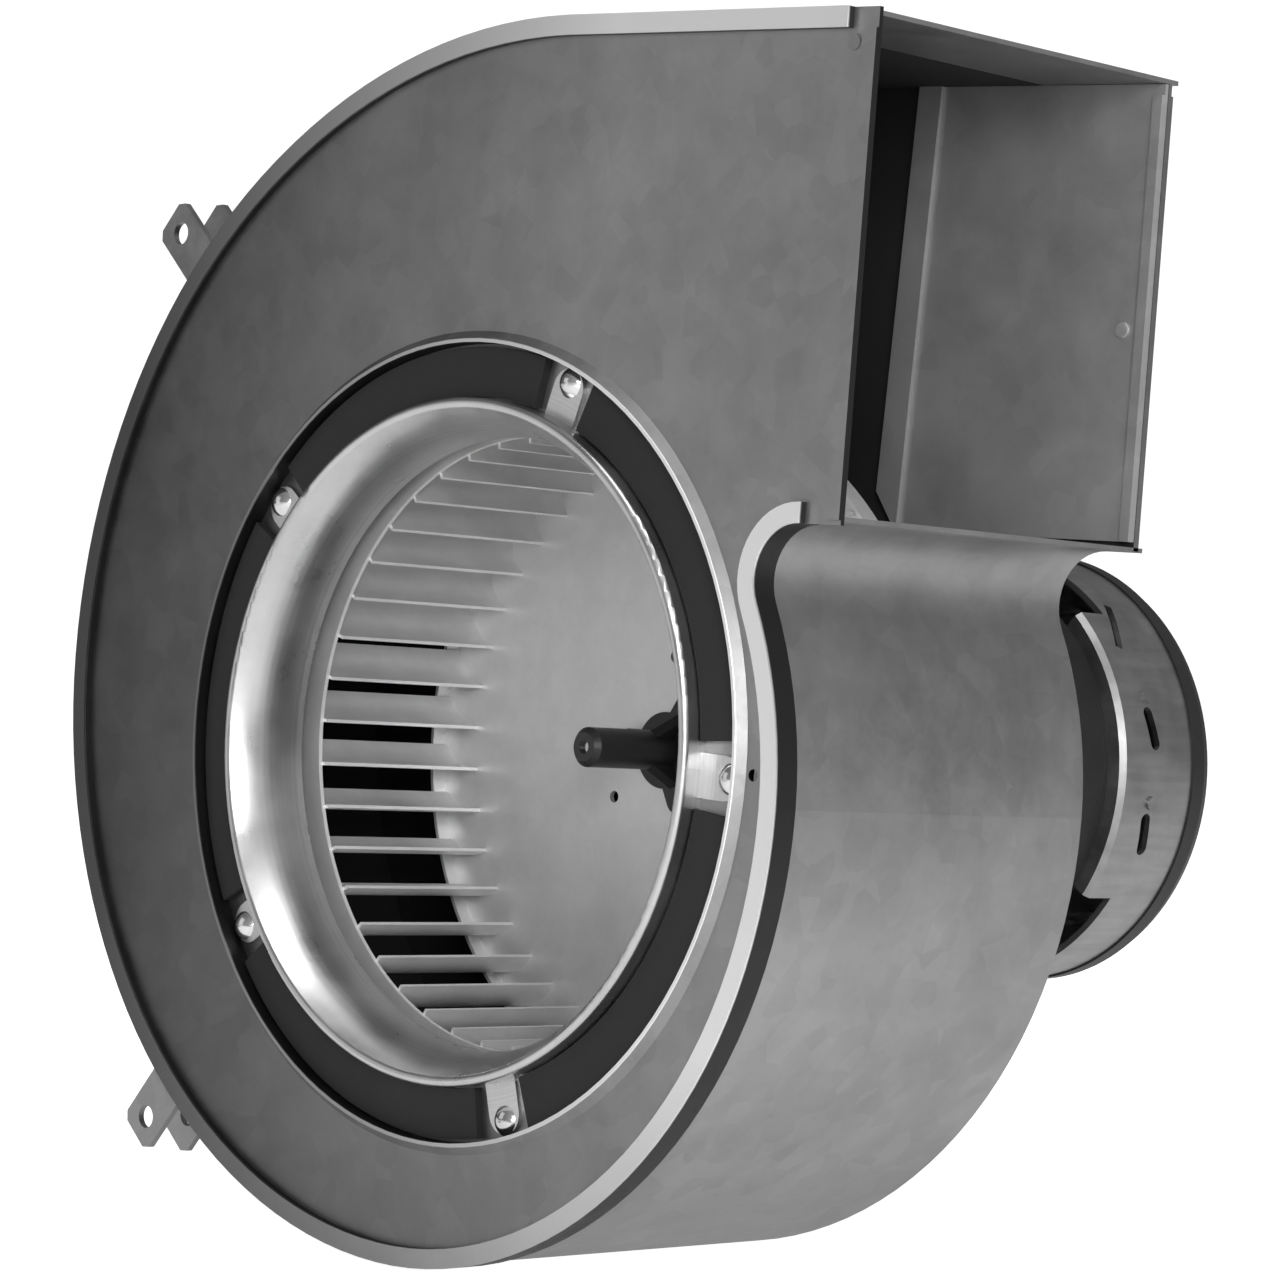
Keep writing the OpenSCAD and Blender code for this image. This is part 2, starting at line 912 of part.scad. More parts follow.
module motor_screw_nuts() {
    color("silver")
        difference() {
            for (i = [0 : motor_legs - 1])
                hex_nut(polar(screw_at, leg_deg(i)), bell_front_y + wall_t, screw_nut_r, screw_nut_h);
            leg_holes(screw_r + clear / 2, bell_front_y + wall_t, screw_nut_h);
        }
}

module hex_nut(at, y, r, h) {
    translate([at[0], y + h, at[1]])
        rotate([quarter, 0, 0])
            cylinder(h = h, r = r, $fn = 6);
}

// ---- motor shells ----

module front_end_bell() {
    color("dimgray")
        difference() {
            turned()
                polygon([
                    [bearing_r, front_bearing_y],
                    [boss_r, front_bearing_y],
                    [boss_r, bell_front_y],
                    [front_bell_r - bell_edge, bell_front_y],
                    [front_bell_r, bell_front_y + bell_edge],
                    [front_bell_r, stator_y],
                    [front_bell_r - wall_t, stator_y],
                    [front_bell_r - wall_t, bell_front_y + wall_t],
                    [boss_r, bell_front_y + wall_t],
                    [boss_r, front_bearing_y + bearing_len],
                    [bearing_r, front_bearing_y + bearing_len]
                ]);
            leg_holes(screw_r + clear, bell_front_y, wall_t);
            bolt_holes(bell_front_y, wall_t);
            for (i = [0 : front_vents - 1])
                at_deg(spread(i, front_vents, front_vent_deg))
                    side_slot(front_bell_r, front_vent_y, front_vent_len, front_vent_w);
            translate([-front_bell_r - eps, lead_y, 0])
                rotate([0, quarter, 0])
                    cylinder(h = 2 * wall_t, r = lead_hole_r);
        }
}

// Holes on the through bolts' circle
module bolt_holes(y, t) {
    for (i = [0 : motor_legs - 1])
        rod_y(bolt_r + clear, polar(bolt_at, bolt_deg(i)), y - eps, t + 2 * eps);
}

// A round-ended slot through a shell of radius r at angle 0: len along the axis and w across
module side_slot(r, y, len, w) {
    for (dy = [w / 2, len - w / 2])
        translate([r - 2 * wall_t, y + dy, 0])
            rotate([0, quarter, 0])
                cylinder(h = 4 * wall_t, r = w / 2);
    translate([r - 2 * wall_t, y + w / 2, -w / 2])
        cube([4 * wall_t, len - w, w]);
}

// Rear shell: a cup with three forward skirts whose front edges are flanged inwards
module rear_end_bell() {
    color("darkgray") {
        difference() {
            turned()
                polygon([
                    [flange_in_r, flange_y],
                    [motor_r - bell_edge, flange_y],
                    [motor_r, flange_y + bell_edge],
                    [motor_r, cap_y],
                    [motor_r - wall_t - cap_gap, cap_y],
                    [motor_r - wall_t - cap_gap, rear_wall_y + wall_t],
                    [bearing_r, rear_wall_y + wall_t],
                    [bearing_r, rear_bearing_y],
                    [boss_r, rear_bearing_y],
                    [boss_r, rear_wall_y],
                    [motor_r - 2 * wall_t, rear_wall_y],
                    [motor_r - 2 * wall_t, cap_y - wall_t],
                    [motor_r - wall_t, cap_y - 2 * wall_t],
                    [motor_r - wall_t, flange_y + wall_t],
                    [flange_in_r, flange_y + wall_t]
                ]);
            for (i = [0 : motor_legs - 1]) {
                window_cut(leg_deg(i) + skirt_to, leg_deg(i + 1) + skirt_from);
                at_deg(leg_deg(i) + slit_deg)
                    slit_cut();
                for (a = vent_degs)
                    at_deg(leg_deg(i) + a)
                        translate([0, vent_y, 0])
                            rotate([quarter + vent_tilt, 0, 0])
                                side_slot(motor_r, -vent_len / 2, vent_len, vent_w);
            }
            bolt_holes(rear_wall_y, wall_t);
            for (i = [0 : rear_holes - 1])
                rod_y(rear_hole_r, polar(rear_hole_at, spread(i, rear_holes, 0)), rear_wall_y - eps,
                    wall_t + 2 * eps);
        }
        // a raised lip at the upper end of each vent
        for (i = [0 : motor_legs - 1])
            for (a = vent_degs)
                at_deg(leg_deg(i) + a + lip_ahead_deg)
                    translate([motor_r - wall_t / 2, vent_y, 0])
                        rotate([0, quarter, 0])
                            cylinder(h = wall_t / 2 + lip_dot_h, r = lip_dot_r);
    }
}

// Cuts the shell away in front of the skirts' roots between two angles
module window_cut(a0, a1) {
    reach = 2 * motor_r;
    plate_at(flange_y - eps, window_end_y - flange_y)
        difference() {
            polygon([[0, 0], polar(reach, a0), polar(reach, (a0 + a1) / 2), polar(reach, a1)]);
            circle(flange_in_r - wall_t);
        }
}

// A slanting slit behind a skirt's upper corner
module slit_cut() {
    translate([motor_r, slit_y, 0])
        rotate([-slit_tilt, 0, 0])
            cube([4 * wall_t, slit_w, slit_len], center = true);
}

module rear_cap() {
    color("black")
        turned()
            polygon([
                [cap_hole_r, motor_end_y - cap_wall],
                [motor_r - cap_round - wall_t, motor_end_y - cap_wall],
                [motor_r - wall_t, motor_end_y - cap_round],
                [motor_r - wall_t, cap_y],
                [motor_r + cap_lip, cap_y],
                [motor_r + cap_lip, motor_end_y - cap_round],
                [motor_r + cap_lip - cap_corner, motor_end_y - cap_corner],
                [motor_r - cap_round, motor_end_y],
                [cap_hole_r, motor_end_y]
            ]);
}

// ---- motor inside ----

module stator_core() {
    color("dimgray") {
        difference() {
            plate_at(stator_y, stator_end_y - stator_y)
                difference() {
                    union() {
                        difference() {
                            circle(stator_r);
                            circle(yoke_in_r);
                        }
                        for (i = [0 : poles - 1])
                            rotate(spread(i, poles, pole_deg))
                                pole_section();
                    }
                    circle(stator_bore_r);
                }
            bolt_holes(stator_y, stator_end_y - stator_y);
        }
        // end ring that the rear shell's flange bears on
        ring_y(stator_r, stator_ring_in_r, stator_end_y, flange_y - stator_end_y);
    }
}

// A pole along +X: a neck and a curved shoe
module pole_section() {
    translate([stator_bore_r, -pole_w / 2])
        square([yoke_in_r - stator_bore_r + pole_lap, pole_w]);
    intersection() {
        difference() {
            circle(stator_bore_r + shoe_t);
            circle(stator_bore_r);
        }
        translate([0, -shoe_w / 2])
            square([stator_bore_r * 2, shoe_w]);
    }
}

module stator_coils() {
    color("peru")
        for (i = [0 : poles - 1])
            at_deg(spread(i, poles, pole_deg))
                translate([coil_in_r, 0, 0])
                    coil();
}

// A coil round a pole's neck, wound about +X
module coil() {
    difference() {
        translate([0, stator_y - coil_over, -pole_w / 2 - coil_t])
            cube([coil_w, stator_end_y - stator_y + 2 * coil_over, pole_w + 2 * coil_t]);
        translate([-eps, stator_y - clear, -pole_w / 2 - clear])
            cube([coil_w + 2 * eps, stator_end_y - stator_y + 2 * clear, pole_w + 2 * clear]);
    }
}

// A copper band across each end of each pole shoe
module shading_rings() {
    color("sandybrown")
        for (i = [0 : poles - 1])
            for (y = [stator_y - shading_t, stator_end_y])
                plate_at(y, shading_t)
                    rotate(spread(i, poles, pole_deg))
                        translate([stator_bore_r + clear, shading_at])
                            square([shoe_t, shading_w]);
}

module rotor_core() {
    color("dimgray")
        ring_y(rotor_r, shaft_r, stator_y, stator_end_y - stator_y);
}

// Cast end rings with small fan stubs
module rotor_cage() {
    color("lightgray")
        for (front = [true, false]) {
            ring_end = front ? stator_y - cage_t : stator_end_y;
            ring_y(cage_r, cage_in_r, ring_end, cage_t);
            stub_y = front ? stator_y - cage_t - stub_h : stator_end_y + cage_t;
            for (i = [0 : stubs - 1])
                at_deg(spread(i, stubs, 0))
                    translate([cage_in_r + stub_margin, stub_y - eps, -stub_w / 2])
                        cube([cage_r - cage_in_r - 2 * stub_margin, stub_h + 2 * eps, stub_w]);
        }
}

module bearing_at(y) {
    ring_y(bearing_r, shaft_r, y, bearing_len);
}

module front_bearing() {
    color("goldenrod")
        bearing_at(front_bearing_y);
}

module rear_bearing() {
    color("goldenrod")
        bearing_at(rear_bearing_y);
}

module oil_felts() {
    color("beige") {
        ring_y(felt_r, shaft_r + felt_gap, front_bearing_y + bearing_len, felt_t);
        ring_y(felt_r, shaft_r + felt_gap, rear_bearing_y - felt_t, felt_t);
    }
}

module bearing_retainers() {
    color("silver") {
        ring_y(boss_r, retainer_in_r, front_bearing_y + bearing_len + felt_t, retainer_t);
        ring_y(boss_r, retainer_in_r, rear_bearing_y - felt_t - retainer_t, retainer_t);
    }
}

module shaft_collars() {
    color("silver") {
        ring_y(collar_r, shaft_r, front_collar_y, collar_len_y);
        ring_y(collar_r, shaft_r, rear_collar_y, collar_len_y);
    }
}

module thrust_washers() {
    color("white") {
        ring_y(collar_r, shaft_r, front_collar_y - washer_t, washer_t);
        ring_y(collar_r, shaft_r, rear_collar_y + collar_len_y, washer_t);
    }
}

// Sheet fan that draws air through the rear shell
module cooling_disc() {
    color("silver") {
        ring_y(cooling_r, shaft_r, cooling_y, sheet);
        ring_y(cooling_hub_r, shaft_r, cooling_y + sheet - eps, cooling_h - sheet);
        for (i = [0 : cooling_blades - 1])
            at_deg(spread(i, cooling_blades, 0))
                translate([cooling_blade_in, cooling_y + sheet - eps, -sheet / 2])
                    cube([cooling_r - cooling_blade_in - cooling_margin, cooling_h + eps, sheet]);
    }
}

module through_bolts() {
    color("silver")
        for (i = [0 : motor_legs - 1]) {
            at = polar(bolt_at, bolt_deg(i));
            rod_y(bolt_r, at, bell_front_y - eps, bolt_end_y - bell_front_y + eps);
            hex_nut(at, bell_front_y - bolt_head_h, bolt_head_r, bolt_head_h);
        }
}

module bolt_nuts() {
    color("silver")
        difference() {
            for (i = [0 : motor_legs - 1])
                hex_nut(polar(bolt_at, bolt_deg(i)), rear_wall_y + wall_t, bolt_head_r, bolt_nut_h);
            for (i = [0 : motor_legs - 1])
                rod_y(bolt_r + clear / 2, polar(bolt_at, bolt_deg(i)), rear_wall_y + wall_t - eps,
                    bolt_nut_h + 2 * eps);
        }
}

// Rubber bush in the lead hole: a waist in the wall and a flange on each side
// Its groove is the bell's own wall, so the two lips follow the curve on both sides
module lead_grommet() {
    color("black")
        difference() {
            lead_plug(lead_hole_r + grommet_lip, 2 * grommet_half);
            difference() {
                ring_y(front_bell_r, front_bell_r - wall_t, lead_y - lead_hole_r - 2 * grommet_lip,
                    2 * lead_hole_r + 4 * grommet_lip);
                lead_plug(lead_hole_r - clear, 4 * grommet_half);
            }
            lead_plug(lead_bore_r, 4 * grommet_half);
        }
}

// A disc on the lead hole's axis, centred on the bell's wall
module lead_plug(r, length) {
    translate([-front_bell_r + wall_t / 2, lead_y, 0])
        rotate([0, quarter, 0])
            cylinder(h = length, r = r, center = true);
}

// ---- drawing ----

front_plate();
back_plate();
scroll_wrapper();
outlet_liner();
liner_spot_weld();
inlet_ring();
inlet_gasket();
inlet_rivets();
upper_lug();
lower_lug();
lug_welds();
corner_weld();
wheel_front_ring();
wheel_blades();
wheel_back_disc();
wheel_hub();
hub_rivets();
hub_set_screw();
motor_shaft();
motor_gasket();
motor_adapter();
motor_grommets();
motor_screws();
motor_screw_nuts();
front_end_bell();
rear_end_bell();
rear_cap();
stator_core();
stator_coils();
shading_rings();
rotor_core();
rotor_cage();
front_bearing();
rear_bearing();
oil_felts();
bearing_retainers();
thrust_washers();
shaft_collars();
cooling_disc();
through_bolts();
bolt_nuts();
lead_grommet();
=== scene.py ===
import json
import math

import bmesh
import bpy
from mathutils import Matrix, Vector


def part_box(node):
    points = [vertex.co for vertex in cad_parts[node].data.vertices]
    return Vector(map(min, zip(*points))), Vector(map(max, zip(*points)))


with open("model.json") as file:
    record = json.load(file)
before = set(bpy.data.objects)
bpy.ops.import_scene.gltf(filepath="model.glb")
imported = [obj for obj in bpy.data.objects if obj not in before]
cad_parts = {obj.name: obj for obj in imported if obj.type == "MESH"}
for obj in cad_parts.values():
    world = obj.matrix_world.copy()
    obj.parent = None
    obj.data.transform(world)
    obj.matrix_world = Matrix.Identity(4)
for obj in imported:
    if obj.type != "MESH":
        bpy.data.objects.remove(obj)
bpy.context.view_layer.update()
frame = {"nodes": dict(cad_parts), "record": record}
nodes = frame["nodes"]
MM = 0.001

# Where painted shade, painted highlights and painted shadows fall on the housing
PAINTED_SHADE_X = (-95 * MM, 30 * MM)
PAINTED_SHADE_Z = (-105 * MM, -45 * MM)
PAINTED_SHADE_LEFT = 0.34
PAINTED_SHADE_LOW = 0.62
PAINTED_CREST_HIGHLIGHT_TO_Y = 0.3 * MM
PAINTED_SEAM_SHADOW_FROM_Y = 0.5 * MM
PAINTED_SHADE_DEPTH = 2.5 * MM
PAINTED_SHADE_TO_X = 60 * MM
TONGUE_FROM_X = 55 * MM
TONGUE_FROM_Z = 20 * MM
PAINTED_SHADE_BLACK = 0.012


# ---- places read from the frame ----

def low(node):
    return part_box(node)[0]


inside_back_y = low("outlet_liner").y
floor_z = low("scroll_wrapper").z - 1 * MM


# ---- node trees ----

class Tree:
    """One material's node tree, written as short calls that return sockets."""

    def __init__(self, name):
        self.material = bpy.data.materials.new(name)
        self.material.use_nodes = True
        self.nodes = self.material.node_tree.nodes
        self.links = self.material.node_tree.links
        self.shader = self.nodes["Principled BSDF"]

    def feed(self, socket, value):
        if isinstance(value, bpy.types.NodeSocket):
            self.links.new(value, socket)
        elif value is not None:
            socket.default_value = value

    def set(self, **inputs):
        for name, value in inputs.items():
            self.feed(self.shader.inputs[name.replace("_", " ")], value)

    def place(self):
        """Object coordinates, which are the frame's own metres."""
        return self.nodes.new("ShaderNodeTexCoord").outputs["Object"]

    def normal(self):
        """The surface's own normal, in the frame's axes."""
        return self.nodes.new("ShaderNodeNewGeometry").outputs["Normal"]

    def stretched(self, vector, scale):
        node = self.nodes.new("ShaderNodeMapping")
        self.feed(node.inputs["Vector"], vector)
        node.inputs["Scale"].default_value = scale
        return node.outputs["Vector"]

    def noise(self, vector, scale, detail=3.0, rough=0.5, distort=0.0):
        node = self.nodes.new("ShaderNodeTexNoise")
        self.feed(node.inputs["Vector"], vector)
        node.inputs["Scale"].default_value = scale
        node.inputs["Detail"].default_value = detail
        node.inputs["Roughness"].default_value = rough
        node.inputs["Distortion"].default_value = distort
        return node.outputs["Fac"]

    def cells(self, vector, scale, feature="F1", output="Distance"):
        node = self.nodes.new("ShaderNodeTexVoronoi")
        node.feature = feature
        self.feed(node.inputs["Vector"], vector)
        node.inputs["Scale"].default_value = scale
        return node.outputs[output]

    def math(self, operation, a, b=None, c=None, clamp=False):
        node = self.nodes.new("ShaderNodeMath")
        node.operation = operation
        node.use_clamp = clamp
        for socket, value in zip(node.inputs, (a, b, c)):
            self.feed(socket, value)
        return node.outputs[0]

    def ramp(self, value, *stops):
        """Grey levels at positions along a 0 to 1 value."""
        node = self.nodes.new("ShaderNodeValToRGB")
        self.feed(node.inputs["Fac"], value)
        points = node.color_ramp.elements
        while len(points) < len(stops):
            points.new(0.5)
        for point, (at, level) in zip(points, stops):
            point.position = at
            point.color = level + (1.0,) if isinstance(level, tuple) else grey(level)
        return node.outputs["Color"]

    def fit(self, value, low_in, high_in, low_out, high_out):
        node = self.nodes.new("ShaderNodeMapRange")
        for socket, number in zip(node.inputs, (value, low_in, high_in, low_out, high_out)):
            self.feed(socket, number)
        return node.outputs[0]

    def mix(self, factor, a, b, blend="MIX"):
        node = self.nodes.new("ShaderNodeMix")
        node.data_type = "RGBA"
        node.blend_type = blend
        self.feed(node.inputs["Factor"], factor)
        self.feed(node.inputs["A"], a)
        self.feed(node.inputs["B"], b)
        return node.outputs["Result"]

    def axes(self, vector):
        node = self.nodes.new("ShaderNodeSeparateXYZ")
        self.feed(node.inputs[0], vector)
        return node.outputs

    def radius(self, vector):
        """Distance from the fan axis."""
        x, _, z = self.axes(vector)
        return self.math("SQRT", self.math("ADD", self.math("MULTIPLY", x, x), self.math("MULTIPLY", z, z)))

    def bump(self, height, distance, strength=1.0, under=None):
        node = self.nodes.new("ShaderNodeBump")
        node.inputs["Strength"].default_value = strength
        node.inputs["Distance"].default_value = distance
        self.feed(node.inputs["Height"], height)
        self.feed(node.inputs["Normal"], under)
        return node.outputs["Normal"]


def grey(level):
    return (level, level, level, 1.0)


def sheet_metal(name, dark, light, rough=(0.36, 0.54), spangle=0.25, dents=0.12):
    """Zinc-coated sheet: soft mottling, faint crystal cells, fine grain and slight hand dents."""
    tree = Tree(name)
    at = tree.place()
    cloud = tree.noise(at, 22, 4, 0.6, 0.4)
    blotch = tree.noise(at, 90, 4, 0.65)
    grain = tree.noise(at, 900, 3, 0.6)
    cell = tree.cells(at, 210, output="Color")
    mottle = tree.math("MULTIPLY_ADD", blotch, 0.45, tree.math("MULTIPLY", cloud, 0.55))
    mottle = tree.math("MULTIPLY_ADD", tree.axes(cell)[0], spangle * 0.4, mottle)
    mottle = tree.math("MULTIPLY_ADD", grain, 0.12, mottle)
    color = tree.ramp(mottle, (0.34, dark), (0.60, (dark + light) / 2), (0.86, light))
    wear = tree.math("MULTIPLY_ADD", grain, 0.35, tree.math("MULTIPLY", blotch, 0.65))
    dent = tree.bump(tree.noise(at, 28, 2), 0.9 * MM, dents)
    return tree, {
        "Base_Color": color,
        "Metallic": 1.0,
        "Roughness": tree.fit(wear, 0.3, 0.7, *rough),
        "Normal": tree.bump(grain, 0.05 * MM, 0.35, dent),
    }


def housing_sheet():
    tree, look = sheet_metal("housing_sheet", 0.20, 0.38)
    tree.set(**look)
    return tree.material


def front_sheet():
    """Front plate: painted shade darkens it to the left and below, a painted highlight brightens the rim's
    front face, and a painted shadow darkens the step beside it.
    """
    tree, look = sheet_metal("front_sheet", 0.24, 0.42, rough=(0.40, 0.56))
    x, y, z = tree.axes(tree.place())
    normal_y = tree.axes(tree.normal())[1]
    # painted shade: the plate's colour darkens towards the left and towards the bottom
    painted_shading = tree.fit(x, *PAINTED_SHADE_X, PAINTED_SHADE_LEFT, 1.0)
    painted_shading = tree.math("MULTIPLY", painted_shading, tree.fit(z, *PAINTED_SHADE_Z, PAINTED_SHADE_LOW, 1.0))
    # painted shadow: sideways faces behind the rim's front face are coloured near black
    sideways = tree.math("LESS_THAN", tree.math("ABSOLUTE", normal_y), 0.5)
    painted_seam_shadow = tree.math("MULTIPLY", sideways, tree.math("GREATER_THAN", y, PAINTED_SEAM_SHADOW_FROM_Y))
    # painted highlight: the rim's front face is coloured near white, less so to the left and below
    painted_crest_highlight = tree.math("LESS_THAN", y, PAINTED_CREST_HIGHLIGHT_TO_Y)
    painted_shade_tint = tree.mix(1.0, look["Base_Color"], tree.ramp(painted_shading, (0.0, 0.0), (1.0, 1.0)), blend="MULTIPLY")
    painted_crest_highlight_tone = tree.ramp(tree.math("MULTIPLY", painted_shading, painted_shading), (0.0, 0.0), (1.0, 0.95))
    rim = tree.mix(painted_crest_highlight, painted_shade_tint, painted_crest_highlight_tone)
    look["Base_Color"] = tree.mix(painted_seam_shadow, rim, grey(0.05))
    tree.set(**look)
    return tree.material


def paint_black_shade(tree, look, inside):
    """Paints black shade on the part of a sheet where inside is 1, where the sheet faces into the unlit
    scroll.
    """
    look["Base_Color"] = tree.mix(inside, look["Base_Color"], grey(PAINTED_SHADE_BLACK))
    look["Metallic"] = tree.math("SUBTRACT", 1.0, inside)
    look["Roughness"] = tree.fit(inside, 0, 1, look["Roughness"], 0.8)
    tree.set(**look)
    return tree.material


def back_sheet():
    """The back plate: bare sheet outside, and painted shade, coloured black, on the side that faces into
    the scroll.
    """
    tree, look = sheet_metal("back_sheet", 0.20, 0.38)
    at = tree.place()
    y = tree.axes(at)[1]
    facing = tree.axes(tree.normal())[1]
    # painted shade: the face turned into the scroll is coloured black
    inside = tree.math("LESS_THAN", facing, -0.5)
    near_sheet = tree.math("LESS_THAN", y, inside_back_y + PAINTED_SHADE_DEPTH)
    return paint_black_shade(tree, look, tree.math("MULTIPLY", inside, near_sheet))


def wrapper_sheet():
    """The rolled wall: bare outside, with painted shade, coloured black, on its inside round the wheel and
    on the tongue's air side.
    """
    tree, look = sheet_metal("wrapper_sheet", 0.27, 0.44, rough=(0.38, 0.52))
    at = tree.place()
    x, _, z = tree.axes(at)
    nx, _, nz = tree.axes(tree.normal())
    outward = tree.math("MULTIPLY_ADD", nx, x, tree.math("MULTIPLY", nz, z))
    faces_in = tree.math("LESS_THAN", outward, 0.0)
    # painted shade: inward faces round the wheel, and the tongue's air side below, are coloured black
    inner = tree.math("MULTIPLY", faces_in, tree.math("LESS_THAN", x, PAINTED_SHADE_TO_X))
    faces_left = tree.math("LESS_THAN", nx, -0.05)
    tongue = tree.math("MULTIPLY", faces_left, tree.math("GREATER_THAN", x, TONGUE_FROM_X))
    tongue = tree.math("MULTIPLY", tongue, tree.math("GREATER_THAN", z, TONGUE_FROM_Z))
    return paint_black_shade(tree, look, tree.math("MAXIMUM", inner, tongue))


def liner_sheet():
    tree, look = sheet_metal("liner_sheet", 0.34, 0.52, rough=(0.48, 0.62))
    look["Metallic"] = 0.6
    tree.set(**look)
    return tree.material


def lug_steel():
    tree, look = sheet_metal("lug_steel", 0.22, 0.42, rough=(0.28, 0.44), dents=0.05)
    tree.set(**look)
    return tree.material


def wheel_sheet():
    """Thin wheel sheet, brighter and shinier than the housing."""
    tree, look = sheet_metal("wheel_sheet", 0.72, 0.95, rough=(0.40, 0.55), spangle=0.10, dents=0.04)
    look["Metallic"] = 0.55
    tree.set(**look)
    return tree.material


def spun_ring():
    """Spun sheet: turning marks run round the axis over a polished trumpet."""
    tree = Tree("spun_ring")
    at = tree.place()
    radius = tree.radius(at)
    y = tree.axes(at)[1]
    path = tree.math("MULTIPLY_ADD", y, 0.7, radius)
    rings = tree.nodes.new("ShaderNodeTexNoise")
    rings.noise_dimensions = "1D"
    tree.feed(rings.inputs["W"], path)
    rings.inputs["Scale"].default_value = 2600
    rings.inputs["Detail"].default_value = 3
    ring = rings.outputs["Fac"]
    smudge = tree.noise(at, 60, 4, 0.6)
    tree.set(
        Base_Color=tree.ramp(tree.math("MULTIPLY_ADD", smudge, 0.7, tree.math("MULTIPLY", ring, 0.3)),
                             (0.3, 0.52), (0.75, 0.76)),
        Metallic=1.0,
        Roughness=tree.fit(smudge, 0.3, 0.7, 0.24, 0.38),
        Normal=tree.bump(ring, 0.03 * MM, 0.3),
    )
    return tree.material


def polished_steel(name, dark, light, rough):
    tree = Tree(name)
    at = tree.place()
    fine = tree.noise(at, 1500, 3, 0.6)
    smear = tree.noise(at, 240, 3)
    tree.set(
        Base_Color=tree.ramp(smear, (0.3, dark), (0.7, light)),
        Metallic=1.0,
        Roughness=tree.fit(smear, 0.3, 0.7, rough * 0.8, rough * 1.3),
        Normal=tree.bump(fine, 0.02 * MM, 0.3),
    )
    return tree.material


def black_coat(name, level, rough, grain_scale=700, grain_depth=0.04, coat=0.0):
    """Black paint, rubber or plastic with a slight orange-peel grain and dusty patches."""
    tree = Tree(name)
    at = tree.place()
    peel = tree.noise(at, grain_scale, 3, 0.55)
    dust = tree.noise(at, 75, 5, 0.65)
    tree.set(
        Base_Color=tree.ramp(dust, (0.35, level), (0.62, level * 1.5), (0.85, level * 2.6)),
        Roughness=tree.fit(dust, 0.3, 0.75, rough * 0.85, rough * 1.25),
        Normal=tree.bump(peel, grain_depth * MM, 0.5),
        Coat_Weight=coat,
        Coat_Roughness=0.12,
    )
    return tree.material


def motor_shell():
    """Zinc-plated deep-drawn cover, with drawing streaks along the axis."""
    tree = Tree("motor_shell")
    at = tree.place()
    cloud = tree.noise(at, 70, 4, 0.6)
    streak = tree.noise(tree.stretched(at, (1.0, 0.12, 1.0)), 420, 3)
    fine = tree.noise(at, 1400, 2)
    tree.set(
        Base_Color=tree.ramp(tree.math("MULTIPLY_ADD", streak, 0.35, tree.math("MULTIPLY", cloud, 0.65)),
                             (0.3, 0.24), (0.75, 0.46)),
        Metallic=1.0,
        Roughness=tree.fit(cloud, 0.3, 0.7, 0.34, 0.5),
        Normal=tree.bump(fine, 0.03 * MM, 0.3),
    )
    return tree.material


def lamination():
    """Stacked steel sheets half a millimetre thick, edge on, varnished."""
    tree = Tree("lamination")
    at = tree.place()
    y = tree.axes(at)[1]
    layer = tree.math("PINGPONG", y, 0.25 * MM)
    edge = tree.math("MULTIPLY", layer, 4000)
    stain = tree.noise(at, 160, 4, 0.6)
    tree.set(
        Base_Color=tree.mix(stain, grey(0.012), grey(0.03)),
        Metallic=0.3,
        Roughness=tree.fit(stain, 0.3, 0.7, 0.4, 0.6),
        Normal=tree.bump(edge, 0.08 * MM, 0.6),
    )
    return tree.material


def copper_winding():
    """Varnished copper wire, laid side by side round each pole."""
    tree = Tree("copper_winding")
    at = tree.place()
    radius = tree.radius(at)
    wire = tree.math("PINGPONG", radius, 0.28 * MM)
    stain = tree.noise(at, 260, 3)
    tree.set(
        Base_Color=tree.mix(stain, (0.30, 0.10, 0.035, 1.0), (0.52, 0.20, 0.07, 1.0)),
        Metallic=0.9,
        Roughness=tree.fit(stain, 0.3, 0.7, 0.28, 0.42),
        Normal=tree.bump(tree.math("MULTIPLY", wire, 3500), 0.18 * MM, 0.8),
    )
    return tree.material


def cast_aluminium():
    tree = Tree("cast_aluminium")
    at = tree.place()
    sand = tree.noise(at, 600, 4, 0.65)
    stain = tree.noise(at, 90, 4)
    tree.set(
        Base_Color=tree.ramp(stain, (0.3, 0.42), (0.7, 0.62)),
        Metallic=1.0,
        Roughness=tree.fit(sand, 0.3, 0.7, 0.42, 0.62),
        Normal=tree.bump(sand, 0.08 * MM, 0.5),
    )
    return tree.material


def bearing_bronze():
    tree = Tree("bearing_bronze")
    at = tree.place()
    pore = tree.noise(at, 1800, 4, 0.7)
    oil = tree.noise(at, 180, 3)
    tree.set(
        Base_Color=tree.mix(oil, (0.34, 0.20, 0.08, 1.0), (0.56, 0.36, 0.16, 1.0)),
        Metallic=1.0,
        Roughness=tree.fit(oil, 0.3, 0.7, 0.3, 0.5),
        Normal=tree.bump(pore, 0.04 * MM, 0.5),
    )
    return tree.material


def felt():
    tree = Tree("felt")
    at = tree.place()
    fibre = tree.noise(tree.stretched(at, (1.0, 3.0, 1.0)), 1400, 5, 0.8, 1.5)
    tree.set(
        Base_Color=tree.ramp(fibre, (0.3, (0.36, 0.32, 0.25)), (0.7, (0.62, 0.57, 0.47))),
        Roughness=0.95,
        Normal=tree.bump(fibre, 0.25 * MM, 0.8),
    )
    return tree.material


def washer_nylon():
    tree = Tree("washer_nylon")
    at = tree.place()
    rub = tree.noise(at, 500, 3)
    tree.set(
        Base_Color=tree.ramp(rub, (0.3, (0.66, 0.64, 0.58)), (0.7, (0.82, 0.80, 0.74))),
        Roughness=tree.fit(rub, 0.3, 0.7, 0.35, 0.5),
        Subsurface_Weight=0.1,
        Normal=tree.bump(rub, 0.03 * MM, 0.3),
    )
    return tree.material


